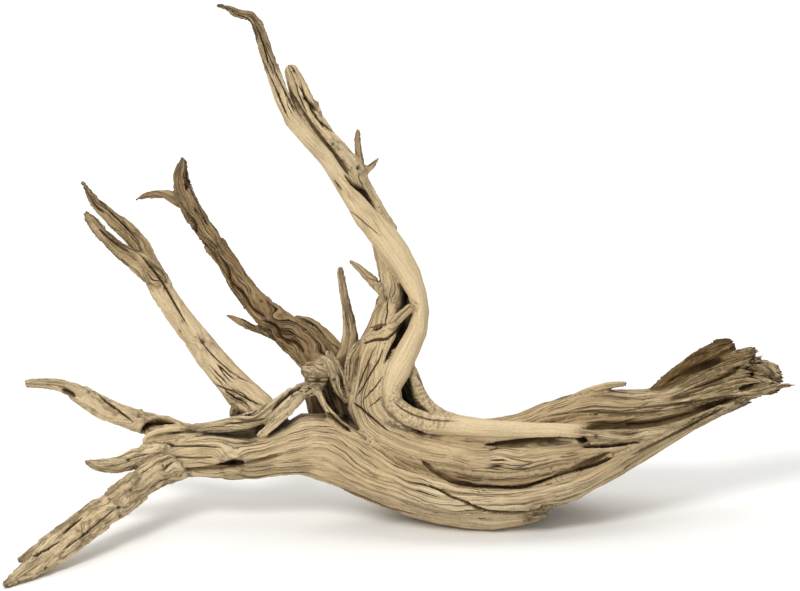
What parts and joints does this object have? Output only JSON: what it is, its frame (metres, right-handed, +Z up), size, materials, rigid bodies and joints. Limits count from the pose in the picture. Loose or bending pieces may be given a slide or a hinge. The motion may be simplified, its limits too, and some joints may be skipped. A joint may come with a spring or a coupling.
{
  "type": "piece of driftwood",
  "caption": "Sandblasted driftwood with a twisted trunk, a tall forked stem, side branches and roots.",
  "frame": {"origin": "on the ground, under the middle of the piece's bounding box", "axes": "+X along the trunk towards its broken, flared end; +Y behind the piece; +Z up"},
  "size_m": [0.7762, 0.3844, 0.5146],
  "materials": {
    "driftwood": "dry weathered wood, sandblasted, matt, with dark cracks"
  },
  "bodies": {
    "root": {"driftwood": "driftwood"}
  },
  "joints": []
}
